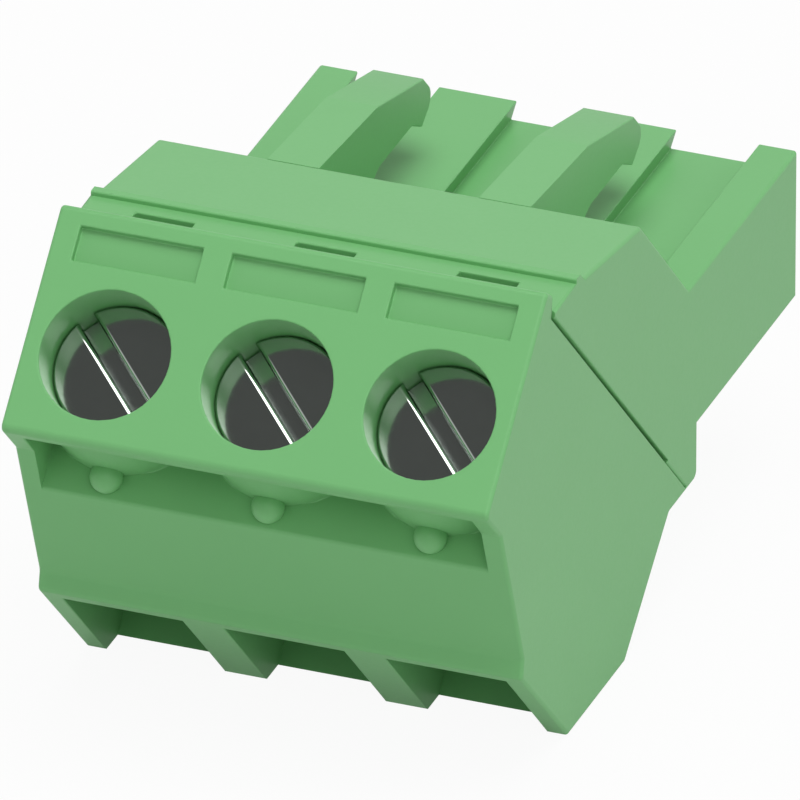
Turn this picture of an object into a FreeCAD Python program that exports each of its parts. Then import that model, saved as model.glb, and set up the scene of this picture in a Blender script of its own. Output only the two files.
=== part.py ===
import FreeCAD, Part
import math
import os
import Sketcher
from FreeCAD import Placement, Rotation, Vector

# A three-way plug for round or square header pins, with clamps that take bare wire ends.
# The screws, clamps and wire entries lean back by LEAN degrees; the plug nose points along +Y.
# Upright places are (y, z) from the top front edge of the screw face, which is where the model is drawn.
# Leaning places are (down, deep): down the screw face, and straight in behind it.
# The finished pieces are moved so that the origin lies on the underside, at the middle of the outline.

POSITIONS = 3
LEAN = 45.0
DRIVE_TURN = 45.0

# Millimetres. Each row is the name of a size, its value, and what it measures.
SIZES = [
    ("pitch", 5.08, "from one position to the next"),
    ("side_wall", 0.62, "end walls of the terminal housing"),
    ("face_down", 7.06, "screw face, from its top edge to its bottom edge"),
    ("chin_deep", 1.73, "return below the screw face, square to it"),
    ("panel_foot_y", -1.90, "foot of the front panel"),
    ("panel_foot_z", -11.29, "foot of the front panel"),
    ("wire_face_down", 9.83, "plane of the wire entries"),
    ("wire_lip_deep", 6.98, "front edge of the wire face"),
    ("body_height", 15.78, "top edge of the screw face above the underside"),
    ("foot_back_y", 6.64, "back edge of the underside"),
    ("heel_front_y", 10.35, "front edge of the raised heel"),
    ("heel_drop", 12.65, "heel below the top edge"),
    ("rim_wide", 0.50, "top rim of the screw face, front to back"),
    ("rim_fall", 0.35, "slope of the rim"),
    ("rim_foot_y", 0.38, "foot of the rim, on the parting plane"),
    ("seam_down", 0.53, "parting plane of the two housings"),
    ("slit_gap", 0.12, "open slit along the parting plane"),
    ("slit_end_deep", 14.85, "where the slit ends and the housings meet"),
    ("ledge_front_y", 0.62, "ledge behind the rim"),
    ("ledge_drop", 0.93, "ledge below the top edge"),
    ("bead_front_y", 2.41, "bead along the ledge"),
    ("bead_back_y", 2.72, "bead along the ledge"),
    ("bead_drop", 0.785, "top of the bead below the top edge"),
    ("bead_round", 0.06, "rounded upper edges of the bead"),
    ("roof_front_y", 2.99, "front edge of the sloping roof"),
    ("roof_front_drop", 1.06, "front edge of the sloping roof"),
    ("ridge_y", 7.82, "ridge where the roof ends"),
    ("ridge_drop", 1.77, "ridge below the top edge"),
    ("ridge_round", 0.25, "rounded ridge"),
    ("nose_end_y", 21.15, "end face of the plug nose"),
    ("nose_root_y", 11.90, "where the slope behind the ridge meets the nose"),
    ("nose_top_drop", 5.94, "top of the nose"),
    ("nose_bottom_drop", 10.85, "underside of the nose"),
    ("heel_land", 0.81, "flat under the heel, from the parting plane back to the shoulder"),
    ("coding_wide", 2.58, "mouth of a coding groove"),
    ("coding_deep", 0.66, "depth of a coding groove"),
    ("coding_undercut", 0.18, "coding groove, widening at each side of its floor"),
    ("coding_start_y", 12.30, "closed end of the coding grooves"),
    ("arm_offset", 3.335, "middle of a latch arm from the middle of the plug"),
    ("arm_wide", 1.64, "latch arm"),
    ("arm_kink_y", 12.73, "bend in the top of a latch arm"),
    ("arm_kink_drop", 2.15, "bend in the top of a latch arm"),
    ("hook_back_y", 15.55, "inner face of the hook"),
    ("hook_foot", 0.85, "foot of the hook, behind its inner face"),
    ("hook_drop", 4.69, "lowest point of the hook"),
    ("arm_nose", 0.97, "where the arm's top turns down, behind the hook's inner face"),
    ("arm_nose_drop", 3.13, "where the arm's top turns down"),
    ("arm_tip", 1.87, "tip of a latch arm, behind the hook's inner face"),
    ("arm_tip_drop", 4.02, "tip of a latch arm"),
    ("arm_under_drop", 4.25, "underside of a latch arm"),
    ("arm_root_y", 12.00, "web at the root of a latch arm"),
    ("arm_root_radius", 1.0, "fillet at the root of a latch arm"),
    ("arm_tip_radius", 0.50, "round tip of a latch arm"),
    ("slot_long", 1.87, "slot in the ledge"),
    ("slot_wide", 0.27, "slot in the ledge"),
    ("slot_deep", 0.80, "slot in the ledge"),
    ("slot_front_y", 1.64, "front of the slots in the ledge"),
    ("label_top_down", 0.54, "top of a label recess"),
    ("label_low_down", 1.62, "bottom of a label recess"),
    ("label_gap", 0.90, "between two label recesses"),
    ("label_margin", 0.77, "outside the end label recesses"),
    ("label_deep", 0.22, "label recess"),
    ("screw_down", 4.26, "screw axis from the top edge of the screw face"),
    ("bore_radius", 2.00, "screwdriver opening"),
    ("head_top_deep", 1.42, "top of the screw head behind the screw face"),
    ("head_tall", 1.50, "screw head"),
    ("head_radius", 1.95, "screw head"),
    ("head_edge", 0.07, "chamfer on the screw head"),
    ("drive_wide", 0.50, "slot in the screw head"),
    ("drive_deep", 0.82, "slot in the screw head"),
    ("drive_bevel", 0.17, "broken edges of the slot"),
    ("shank_radius", 1.48, "screw shank over its thread"),
    ("shank_point", 0.45, "chamfer at the end of the shank"),
    ("fit_gap", 0.05, "clearance of pieces that run in each other"),
    ("seat_web", 1.00, "web below the screw head"),
    ("tube_radius", 2.69, "outside of the wall round a screw head"),
    ("plate_low", 0.50, "front plate at its lower edge"),
    ("plate_high", 0.80, "front plate at the top of the recess"),
    ("recess_top_down", 4.90, "top of the front recess"),
    ("recess_floor_deep", 3.21, "floor of the front recess"),
    ("lip_round", 0.15, "rounded lower lip of the front recess"),
    ("nib_radius", 0.50, "round nib under each screw"),
    ("nib_down", 7.10, "middle of a nib"),
    ("nib_deep", 3.00, "middle of a nib"),
    ("entry_wide", 3.77, "wire entry"),
    ("entry_front_deep", 7.50, "front edge of a wire entry"),
    ("chamber_back_deep", 13.15, "rear wall of the clamp chamber and wire entry"),
    ("chamber_wide", 4.04, "clamp chamber"),
    ("chamber_stop_down", 6.40, "front wall of the clamp chamber"),
    ("funnel_down", 9.30, "where the wire funnel begins"),
    ("sleeve_clearance", 0.05, "clamping sleeve to the chamber wall at each side"),
    ("sleeve_long", 3.80, "clamping sleeve along the wire"),
    ("sleeve_wall", 0.42, "side walls of the clamping sleeve"),
    ("sleeve_top", 1.25, "threaded top of the clamping sleeve"),
    ("sleeve_floor", 0.80, "floor of the clamping sleeve"),
    ("sleeve_bend", 0.45, "round outer corners of the clamping sleeve"),
    ("clamp_travel", 2.25, "way of the sleeve from open to shut"),
    ("groove_deep", 0.18, "grip grooves in the sleeve floor"),
    ("groove_pitch", 0.90, "grip grooves in the sleeve floor"),
    ("bar_deep", 8.40, "upper face of the current bar"),
    ("bar_thick", 0.80, "current bar"),
    ("bar_wide", 2.60, "current bar"),
    ("bar_front_down", 7.10, "front end of the current bar"),
    ("bar_seat", 0.10, "current bar to the end of its notch"),
    ("bar_bend", 0.60, "inner bend of the current bar"),
    ("tail_drop", 7.20, "level stretch of the current bar"),
    ("tail_end_y", 11.60, "back end of the current bar"),
    ("channel_wide", 3.20, "contact channel in the nose"),
    ("channel_gap", 0.10, "roof of the contact channel above the current bar"),
    ("channel_floor_drop", 10.20, "floor of the contact channel"),
    ("end_wall", 0.80, "end wall of the nose"),
    ("pin_hole", 1.90, "square opening for a header pin"),
    ("pin_drop", 8.85, "header pins below the top edge"),
    ("pin_lead", 0.30, "lead-in at a pin opening"),
    ("spring_thick", 0.30, "contact spring sheet"),
    ("spring_front_y", 8.60, "front of the contact spring"),
    ("spring_leaf_y", 9.30, "front of the contact leaves"),
    ("spring_root_y", 12.40, "where the contact leaves begin to close in"),
    ("spring_pinch_y", 18.00, "where the contact leaves grip the pin"),
    ("spring_tip_y", 20.00, "end of the contact leaves"),
    ("spring_pinch", 0.45, "half of the gap where the leaves grip"),
    ("spring_flare", 0.75, "half of the gap at the ends of the leaves"),
    ("spring_leaf", 1.70, "height of a contact leaf"),
    ("keeper_wide", 3.70, "block that holds the sleeve in its chamber"),
    ("keeper_gap", 0.10, "keeper block to the clamping sleeve"),
    ("round_edge", 0.25, "rounded moulding corners"),
    ("top_round", 0.18, "rounded top edge of the screw face"),
    ("soft_edge", 0.12, "broken moulding edges"),
    ("heel_round", 0.30, "back corner of the heel"),
]

doc = FreeCAD.newDocument("PlugTerminal")
sheet = doc.addObject("Spreadsheet::Sheet", "Sizes")


class Length:
    """A size and the formula that ties it to the sheet, so that sums of sizes stay tied."""

    def __init__(self, value, formula):
        self.value = value
        self.formula = formula

    def joined(self, sign, other, value):
        return Length(value, "(" + self.formula + " " + sign + " " + other.formula + ")")

    def __add__(self, other):
        other = length(other)
        return self.joined("+", other, self.value + other.value)

    def __sub__(self, other):
        other = length(other)
        return self.joined("-", other, self.value - other.value)

    def __rsub__(self, other):
        return length(other) - self

    def __mul__(self, other):
        other = length(other)
        return self.joined("*", other, self.value * other.value)

    def __truediv__(self, other):
        other = length(other)
        return self.joined("/", other, self.value / other.value)

    def __neg__(self):
        return self * -1

    __radd__ = __add__
    __rmul__ = __mul__


def length(thing):
    if isinstance(thing, Length):
        return thing
    return Length(float(thing), "(" + repr(float(thing)) + ")")


def fill_sheet():
    """Writes the sizes into the sheet and returns them by name."""
    named = {}
    for row, (alias, value, meaning) in enumerate(SIZES, start=1):
        sheet.set("A%d" % row, alias)
        sheet.set("B%d" % row, str(value))
        sheet.set("C%d" % row, meaning)
        sheet.setAlias("B%d" % row, alias)
        named[alias] = Length(value, "Sizes." + alias)
    doc.recompute()
    return named


S = fill_sheet()
COSINE = math.cos(math.radians(LEAN))
WIDTH = S["pitch"] * POSITIONS
FIRST_X = S["pitch"] * (-(POSITIONS - 1) / 2)
ORIGIN_SHIFT_Y = (S["face_down"] * COSINE - S["round_edge"] * (math.sqrt(2) - 1) - S["nose_end_y"]) / 2
UPRIGHT = Rotation()
LEANING = Rotation(Vector(1, 0, 0), LEAN)


def position_x(number):
    return FIRST_X + S["pitch"] * number


def lean(down, deep):
    """The upright (y, z) of a leaning place."""
    return (length(deep) - down) * COSINE, (length(down) + deep) * -COSINE


def deep_at(down, drop):
    """How deep a leaning line, a given way down the face, is when it reaches a given drop."""
    return length(drop) / COSINE - down


def tie(thing, path, size):
    thing.setExpression(path, length(size).formula)


def origin_feature(body, role):
    return [part for part in body.Origin.OriginFeatures if part.Role == role][0]


def new_body(label):
    body = doc.addObject("PartDesign::Body", label)
    body.Label = label
    return body


def settle(body, rotation, place):
    """Moves a finished body from where it is drawn to its place in the plug."""
    body.Placement = Placement(Vector(), rotation)
    for axis, size in zip("xyz", place):
        tie(body, "Placement.Base." + axis, size)


def new_sketch(body, plane, turn=UPRIGHT, offset=(0, 0, 0)):
    """A sketch on one of the body's own origin planes, turned and moved within it."""
    sketch = body.newObject("Sketcher::SketchObject", body.Label + "_sketch")
    sketch.AttachmentSupport = [(origin_feature(body, plane), "")]
    sketch.MapMode = "FlatFace"
    sketch.AttachmentOffset = Placement(Vector(), turn)
    for axis, size in zip("xyz", offset):
        tie(sketch, "AttachmentOffset.Base." + axis, size)
    return sketch


def side_sketch(body, at_x=0):
    """Sketch plane seen from the +X side; its coordinates are upright (y, z)."""
    return new_sketch(body, "YZ_Plane", UPRIGHT, (0, 0, at_x))


def leaning_side_sketch(body, at_x=0):
    """Sketch plane seen from the +X side; its coordinates are (deep, -down)."""
    return new_sketch(body, "YZ_Plane", Rotation(Vector(0, 0, 1), -LEAN), (0, 0, at_x))


def face_sketch(body, deep=0):
    """Sketch plane parallel to the screw face; its coordinates are (x, -down)."""
    y, z = lean(0, deep)
    return new_sketch(body, "XY_Plane", LEANING, (0, y, z))


def hold(sketch, line, end, place):
    """Ties one end of a line, or a circle's centre, to its place."""
    for kind, size in zip(("DistanceX", "DistanceY"), place):
        index = sketch.addConstraint(Sketcher.Constraint(kind, -1, 1, line, end, size.value))
        tie(sketch, "Constraints[%d]" % index, size)


def outline(sketch, places):
    """A closed outline of straight lines through tied places."""
    places = [(length(a), length(b)) for a, b in places]
    first = sketch.GeometryCount
    ends = places[1:] + places[:1]
    for start, end in zip(places, ends):
        line = Part.LineSegment(
            Vector(start[0].value, start[1].value, 0), Vector(end[0].value, end[1].value, 0)
        )
        sketch.addGeometry(line, False)
    count = len(places)
    for k in range(count):
        following = first + (k + 1) % count
        sketch.addConstraint(Sketcher.Constraint("Coincident", first + k, 2, following, 1))
        hold(sketch, first + k, 1, places[k])


def rectangle(sketch, low, high):
    outline(sketch, [low, (high[0], low[1]), high, (low[0], high[1])])


def circle(sketch, centre, radius):
    centre = (length(centre[0]), length(centre[1]))
    radius = length(radius)
    middle = Vector(centre[0].value, centre[1].value, 0)
    index = sketch.addGeometry(Part.Circle(middle, Vector(0, 0, 1), radius.value), False)
    hold(sketch, index, 3, centre)
    tied = sketch.addConstraint(Sketcher.Constraint("Radius", index, radius.value))
    tie(sketch, "Constraints[%d]" % tied, radius)


def finish_feature(body, feature):
    body.Tip = feature
    doc.recompute()
    return feature


def volume_before(body):
    return body.Shape.Volume if body.Tip else 0.0


def pad(body, sketch, size, both_ways=False, backwards=False):
    before = volume_before(body)
    feature = body.newObject("PartDesign::Pad", body.Label + "_pad")
    feature.Profile = sketch
    tie(feature, "Length", size)
    feature.SideType = "Symmetric" if both_ways else "One side"
    feature.Reversed = backwards
    finish_feature(body, feature)
    if body.Shape.Volume <= before:
        raise ValueError(body.Label + ": a pad adds nothing")
    return feature


def pocket(body, sketch, size=None, both_ways=False, backwards=False):
    """A cut of the given depth, or right through where no depth is given."""
    before = volume_before(body)
    feature = body.newObject("PartDesign::Pocket", body.Label + "_pocket")
    feature.Profile = sketch
    if size is None:
        feature.Type = "ThroughAll"
    else:
        tie(feature, "Length", size)
    feature.SideType = "Symmetric" if both_ways else "One side"
    feature.Reversed = backwards
    finish_feature(body, feature)
    if body.Shape.Volume >= before:
        raise ValueError(body.Label + ": a pocket cuts nothing")
    return feature


def at_each_position(body, features):
    """Repeats features made at the first position."""
    pattern = body.newObject("PartDesign::LinearPattern", body.Label + "_pattern")
    pattern.Originals = features
    pattern.Direction = (origin_feature(body, "X_Axis"), [""])
    tie(pattern, "Length", S["pitch"] * (POSITIONS - 1))
    pattern.Occurrences = POSITIONS
    return finish_feature(body, pattern)


def mirrored(body, features):
    mirror = body.newObject("PartDesign::Mirrored", body.Label + "_mirror")
    mirror.Originals = features
    mirror.MirrorPlane = (origin_feature(body, "YZ_Plane"), [""])
    return finish_feature(body, mirror)


def near(point, place, reach):
    return abs(point.y - place[0].value) < reach and abs(point.z - place[1].value) < reach


def edges_across(feature, places, reach):
    """Names of the straight edges that run along X through upright places."""
    places = [(length(y), length(z)) for y, z in places]
    names = []
    for number, edge in enumerate(feature.Shape.Edges, start=1):
        ends = [vertex.Point for vertex in edge.Vertexes]
        if len(ends) == 2 and any(all(near(end, place, reach) for end in ends) for place in places):
            names.append("Edge%d" % number)
    return names


def round_off(body, places, radius, reach=1e-4):
    """Rounds the corners that run along X through the given upright places."""
    base = body.Tip
    names = edges_across(base, places, reach)
    if len(names) < len(places):
        raise ValueError(body.Label + ": a corner to round isn't there")
    feature = body.newObject("PartDesign::Fillet", body.Label + "_fillet")
    feature.Base = (base, names)
    tie(feature, "Radius", radius)
    return finish_feature(body, feature)


def soften_sides(body, radius, keep_sharp):
    """Breaks the outline of both side faces, apart from the stretches that keep_sharp names."""
    base = body.Tip
    half = WIDTH.value / 2
    names = []
    for number, edge in enumerate(base.Shape.Edges, start=1):
        box = edge.BoundBox
        in_side = abs(abs(box.XMin) - half) < 1e-4 and box.XLength < 1e-4
        if in_side and not keep_sharp(edge.CenterOfMass):
            names.append("Edge%d" % number)
    feature = body.newObject("PartDesign::Fillet", body.Label + "_sides")
    feature.Base = (base, names)
    tie(feature, "Radius", radius)
    return finish_feature(body, feature)


def down_of(point):
    """How far down the screw face an upright point lies."""
    return -(point.y + point.z) * COSINE


def foot_line():
    """Places of the terminal housing's outline from the parting plane round to the screw face."""
    floor = -S["body_height"]
    heel = -S["heel_drop"]
    seam_at_heel = lean(S["seam_down"], deep_at(S["seam_down"], S["heel_drop"]))
    wire_back = lean(S["wire_face_down"], deep_at(S["wire_face_down"], S["body_height"]))
    return {
        "seam": seam_at_heel,
        "heel": (S["heel_front_y"], heel),
        "foot_back": (S["foot_back_y"], floor),
        "foot_front": wire_back,
        "lip": lean(S["wire_face_down"], S["wire_lip_deep"]),
        "panel_foot": (S["panel_foot_y"], S["panel_foot_z"]),
        "chin_back": lean(S["face_down"], S["chin_deep"]),
        "chin": lean(S["face_down"], 0),
        "top": (length(0), length(0)),
        "rim": (S["rim_wide"], -S["rim_fall"]),
        "rim_foot": (S["rim_foot_y"], -(S["rim_foot_y"] + S["seam_down"] / COSINE)),
    }


def build_terminal_housing():
    """The front and lower moulding: screw face, front recess, clamp chambers and wire entries."""
    body = new_body("terminal_housing")
    corners = foot_line()
    sketch = side_sketch(body)
    outline(sketch, list(corners.values()))
    pad(body, sketch, WIDTH, both_ways=True)
    round_off(body, [corners[name] for name in ("chin", "chin_back", "lip")], S["round_edge"])
    round_off(body, [corners["top"]], S["top_round"])
    round_off(body, [corners["panel_foot"]], S["round_edge"] * 1.5)
    round_off(body, [corners[name] for name in ("rim", "foot_front", "foot_back", "heel")], S["soft_edge"])
    seam = S["seam_down"].value + 1e-3
    rim_back = S["rim_foot_y"].value - 1e-3
    soften_sides(
        body, S["soft_edge"], lambda point: down_of(point) < seam and point.y > rim_back
    )
    cut_recess(body)
    add_screw_tubes(body)
    add_nibs(body)
    cut_screw_bores(body)
    cut_labels(body)
    cut_chambers(body)
    settle(body, UPRIGHT, (0, ORIGIN_SHIFT_Y, S["body_height"]))
    return body


def panel_down(deep):
    """How far down the front panel is at a given depth."""
    foot_down = (S["panel_foot_y"] + S["panel_foot_z"]) * -COSINE
    foot_deep = (S["panel_foot_y"] - S["panel_foot_z"]) * COSINE
    slope = (foot_down - S["face_down"]) / (foot_deep - S["chin_deep"])
    return S["face_down"] + (length(deep) - S["chin_deep"]) * slope


def cut_recess(body):
    """The opening between the front plate and the panel, closed by the side walls."""
    floor = S["recess_floor_deep"]
    beyond = panel_down(floor) + S["chin_deep"] / 2
    sketch = leaning_side_sketch(body)
    outline(sketch, [
        (S["plate_low"], -(S["face_down"] + S["round_edge"])),
        (S["plate_high"], -S["recess_top_down"]),
        (floor, -S["recess_top_down"]),
        (floor, -beyond),
        (S["plate_low"], -beyond),
    ])
    pocket(body, sketch, WIDTH - S["side_wall"] * 2, both_ways=True)
    round_off(body, [lean(panel_down(floor), floor)], S["lip_round"])


def add_screw_tubes(body):
    """The round walls of the screwdriver openings, which show in the recess."""
    tube_start = S["plate_low"] / 2
    tube_end = S["recess_floor_deep"] + S["plate_low"]
    sketch = face_sketch(body, tube_start)
    for number in range(POSITIONS):
        circle(sketch, (position_x(number), -S["screw_down"]), S["tube_radius"])
    pad(body, sketch, tube_end - tube_start, backwards=True)
    trim_to_width(body)


def add_nibs(body):
    """A small round nib on the recess floor below each screw."""
    y, z = lean(S["nib_down"], S["nib_deep"])
    for number in range(POSITIONS):
        nib = body.newObject("PartDesign::AdditiveSphere", "nib")
        nib.AttachmentSupport = [(origin_feature(body, "XY_Plane"), "")]
        nib.MapMode = "FlatFace"
        for axis, size in zip("xyz", (position_x(number), y, z)):
            tie(nib, "AttachmentOffset.Base." + axis, size)
        tie(nib, "Radius", S["nib_radius"])
        finish_feature(body, nib)


def trim_to_width(body):
    """Takes off what the end tubes would add outside the end walls."""
    sketch = face_sketch(body)
    half = WIDTH / 2
    outer = half + S["tube_radius"]
    for near_x, far_x in ((half, outer), (-outer, -half)):
        rectangle(sketch, (near_x, -S["face_down"]), (far_x, length(0)))
    pocket(body, sketch)


def cut_screw_bores(body):
    """A screwdriver opening with a seat for the screw head, and a hole for the shank."""
    seat = S["head_top_deep"] + S["head_tall"] + S["fit_gap"]
    for radius, depth in (
        (S["bore_radius"], seat),
        (S["shank_radius"] + S["fit_gap"] * 2, seat + S["seat_web"] * 2),
    ):
        sketch = face_sketch(body)
        for number in range(POSITIONS):
            circle(sketch, (position_x(number), -S["screw_down"]), radius)
        pocket(body, sketch, depth)


def cut_labels(body):
    """A shallow recess above each screwdriver opening, to take a printed mark."""
    sketch = face_sketch(body)
    for number in range(POSITIONS):
        left = position_x(number) - S["pitch"] / 2
        right = left + S["pitch"]
        left = left + (S["label_margin"] if number == 0 else S["label_gap"] / 2)
        right = right - (S["label_margin"] if number == POSITIONS - 1 else S["label_gap"] / 2)
        rectangle(sketch, (left, -S["label_low_down"]), (right, -S["label_top_down"]))
    pocket(body, sketch, S["label_deep"])


def cut_chambers(body):
    """The chambers of the clamping sleeves, open to the parting plane, and the wire funnels."""
    roof = S["head_top_deep"] + S["head_tall"] + S["fit_gap"] + S["seat_web"]
    stop = -S["chamber_stop_down"]
    back = S["chamber_back_deep"]
    notch_end = -(S["bar_front_down"] + S["bar_seat"])
    bar_under = S["bar_deep"] + S["bar_thick"] + S["bar_seat"]
    outside = -(S["wire_face_down"] + S["round_edge"] * 2)
    chamber = leaning_side_sketch(body, FIRST_X)
    rectangle(chamber, (roof, stop), (back, length(0)))
    chamber_cut = pocket(body, chamber, S["chamber_wide"], both_ways=True)
    funnel = leaning_side_sketch(body, FIRST_X)
    outline(funnel, [
        (S["bar_deep"] - S["fit_gap"], stop),
        (S["bar_deep"] - S["fit_gap"], notch_end),
        (bar_under, notch_end),
        (S["entry_front_deep"], -S["funnel_down"]),
        (S["entry_front_deep"], outside),
        (back, outside),
        (back, stop),
    ])
    funnel_cut = pocket(body, funnel, S["entry_wide"], both_ways=True)
    at_each_position(body, [chamber_cut, funnel_cut])


def nose_line():
    """Places of the plug housing's outline, from the ledge back to the nose and round to the seam."""
    slit_down = S["seam_down"] - S["slit_gap"]
    seam_at_heel = lean(S["seam_down"], deep_at(S["seam_down"], S["heel_drop"]))
    shoulder_y = seam_at_heel[0] + S["heel_land"]
    return {
        "ledge": (S["ledge_front_y"], -S["ledge_drop"]),
        "bead_foot": (S["bead_front_y"], -S["ledge_drop"]),
        "bead_front": (S["bead_front_y"], -S["bead_drop"]),
        "bead_back": (S["bead_back_y"], -S["bead_drop"]),
        "roof": (S["roof_front_y"], -S["roof_front_drop"]),
        "ridge": (S["ridge_y"], -S["ridge_drop"]),
        "nose_root": (S["nose_root_y"], -S["nose_top_drop"]),
        "nose_top": (S["nose_end_y"], -S["nose_top_drop"]),
        "nose_low": (S["nose_end_y"], -S["nose_bottom_drop"]),
        "shoulder": (shoulder_y, -S["nose_bottom_drop"]),
        "heel": (shoulder_y, -S["heel_drop"]),
        "seam": seam_at_heel,
        "slit_end": lean(S["seam_down"], S["slit_end_deep"]),
        "slit_step": lean(slit_down, S["slit_end_deep"]),
        "slit_top": (S["ledge_front_y"], -(S["ledge_front_y"] + slit_down / COSINE)),
    }


def build_plug_housing():
    """The rear and upper moulding: roof, latch arms, coded nose and contact channels."""
    body = new_body("plug_housing")
    corners = nose_line()
    sketch = side_sketch(body)
    outline(sketch, list(corners.values()))
    pad(body, sketch, WIDTH, both_ways=True)
    round_off(body, [corners["heel"]], S["heel_round"])
    round_off(body, [corners["ridge"]], S["ridge_round"])
    round_off(body, [corners["bead_front"], corners["bead_back"]], S["bead_round"])
    round_off(body, [corners["nose_root"]], S["soft_edge"])
    slit = S["seam_down"].value - S["slit_gap"].value - 1e-3
    ledge = S["roof_front_y"].value
    soften_sides(
        body, S["soft_edge"], lambda point: down_of(point) > slit or point.y < ledge
    )
    cut_coding(body)
    add_latch_arms(body)
    add_keepers(body)
    cut_ledge_slots(body)
    cut_channels(body)
    settle(body, UPRIGHT, (0, ORIGIN_SHIFT_Y, S["body_height"]))
    return body


def end_sketch(body):
    """Sketch plane on the nose's end face, seen from the front; its coordinates are (x, z)."""
    return new_sketch(body, "XZ_Plane", UPRIGHT, (0, 0, -S["nose_end_y"]))


def cut_coding(body):
    """Undercut grooves along the top of the nose, one to each position, for coding ribs."""
    sketch = end_sketch(body)
    top = -S["nose_top_drop"]
    floor = top - S["coding_deep"]
    mouth = S["coding_wide"] / 2
    foot = mouth + S["coding_undercut"]
    above = top + S["coding_deep"] / 2
    for number in range(POSITIONS):
        x = position_x(number)
        outline(sketch, [
            (x - foot, floor), (x + foot, floor), (x + mouth, top),
            (x + mouth, above), (x - mouth, above), (x - mouth, top),
        ])
    pocket(body, sketch, S["nose_end_y"] - S["coding_start_y"], backwards=True)


def add_latch_arms(body):
    """Two springy arms over the nose that hook on the header."""
    sketch = side_sketch(body, S["arm_offset"])
    inside = S["ridge_y"] + S["bead_drop"]
    under = -S["arm_under_drop"]
    root = (S["arm_root_y"], under)
    hook = S["hook_back_y"]
    tip = (hook + S["arm_tip"], -S["arm_tip_drop"])
    outline(sketch, [
        (S["ridge_y"], -S["ridge_drop"]),
        (S["arm_kink_y"], -S["arm_kink_drop"]),
        (hook + S["arm_nose"], -S["arm_nose_drop"]),
        tip,
        (hook + S["hook_foot"], -S["hook_drop"]),
        (hook, under),
        root,
        (S["arm_root_y"], -(S["nose_top_drop"] + S["soft_edge"])),
        (inside, -(S["nose_top_drop"] + S["soft_edge"])),
    ])
    pad(body, sketch, S["arm_wide"], both_ways=True)
    arm = body.Tip
    mirrored(body, [arm])
    round_off(body, [root], S["arm_root_radius"])
    round_off(body, [tip], S["arm_tip_radius"])


def add_keepers(body):
    """Blocks on the parting plane that keep the clamping sleeves in their chambers."""
    top = S["head_top_deep"] + S["head_tall"] + S["seat_web"] + S["keeper_gap"] * 2
    sleeve_back = S["screw_down"] - S["sleeve_long"] / 2 - S["keeper_gap"]
    sketch = leaning_side_sketch(body, FIRST_X)
    rectangle(sketch, (top, -sleeve_back), (S["bar_deep"] - S["fit_gap"], length(0)))
    block = pad(body, sketch, S["keeper_wide"], both_ways=True)
    at_each_position(body, [block])


def cut_ledge_slots(body):
    """Narrow slots in the ledge, one behind each label recess."""
    sketch = new_sketch(body, "XY_Plane", UPRIGHT, (0, 0, -S["ledge_drop"]))
    half = S["slot_long"] / 2
    for number in range(POSITIONS):
        x = position_x(number)
        rectangle(sketch, (x - half, S["slot_front_y"]), (x + half, S["slot_front_y"] + S["slot_wide"]))
    pocket(body, sketch, S["slot_deep"])


def cut_channels(body):
    """The contact channels, open to the parting plane, and a pin opening at the end of each."""
    sketch = side_sketch(body, FIRST_X)
    start_y = S["tail_drop"] / 2
    end_y = S["nose_end_y"] - S["end_wall"]
    rectangle(
        sketch,
        (start_y, -S["channel_floor_drop"]),
        (end_y, -(S["tail_drop"] - S["channel_gap"])),
    )
    channel = pocket(body, sketch, S["channel_wide"], both_ways=True)
    at_each_position(body, [channel])
    cut_pin_openings(body, S["pin_hole"], S["end_wall"] * 1.5)
    cut_pin_openings(body, S["pin_hole"] + S["pin_lead"], S["pin_lead"] / 2)


def cut_pin_openings(body, size, depth):
    sketch = end_sketch(body)
    half = size / 2
    for number in range(POSITIONS):
        x = position_x(number)
        rectangle(sketch, (x - half, -S["pin_drop"] - half), (x + half, -S["pin_drop"] + half))
    pocket(body, sketch, depth, backwards=True)


def screw_place(number):
    """Where a screw's axis meets the screw face."""
    y, z = lean(S["screw_down"], 0)
    return position_x(number), y + ORIGIN_SHIFT_Y, z + S["body_height"]


def build_screw(number):
    """A slotted cheese-head clamping screw; its own Z axis runs out of the screw face."""
    body = new_body("clamp_screw_%d" % (number + 1))
    top = -S["head_top_deep"]
    under = top - S["head_tall"]
    end = -(S["bar_deep"] - S["fit_gap"])
    sketch = new_sketch(body, "XZ_Plane")
    outline(sketch, [
        (0, top),
        (S["head_radius"] - S["head_edge"], top),
        (S["head_radius"], top - S["head_edge"]),
        (S["head_radius"], under),
        (S["shank_radius"], under),
        (S["shank_radius"], end + S["shank_point"]),
        (S["shank_radius"] - S["shank_point"], end),
        (0, end),
    ])
    turned = body.newObject("PartDesign::Revolution", body.Label + "_turned")
    turned.Profile = sketch
    turned.ReferenceAxis = (origin_feature(body, "Z_Axis"), [""])
    turned.Angle = 360.0
    finish_feature(body, turned)
    cut_drive(body, top)
    settle(body, LEANING, screw_place(number))
    return body


def cut_drive(body, top):
    """The slot for the screwdriver, with broken edges."""
    sketch = new_sketch(body, "XZ_Plane", Rotation(Vector(0, 1, 0), DRIVE_TURN))
    half = S["drive_wide"] / 2
    outer = half + S["drive_bevel"]
    shoulder = top - S["drive_bevel"]
    floor = top - S["drive_deep"]
    above = top + S["drive_bevel"]
    outline(sketch, [
        (-half, floor), (half, floor), (half, shoulder), (outer, top),
        (outer, above), (-outer, above), (-outer, top), (-half, shoulder),
    ])
    pocket(body, sketch, S["head_radius"] * 2 + S["drive_bevel"], both_ways=True)


def sleeve_levels():
    """Heights of the open sleeve's faces on the screw's axis, from its top down."""
    bar_top = S["bar_deep"]
    window_top = bar_top - S["keeper_gap"]
    window_floor = bar_top + S["bar_thick"] + S["keeper_gap"] + S["clamp_travel"]
    return window_top - S["sleeve_top"], window_top, window_floor, window_floor + S["sleeve_floor"]


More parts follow.
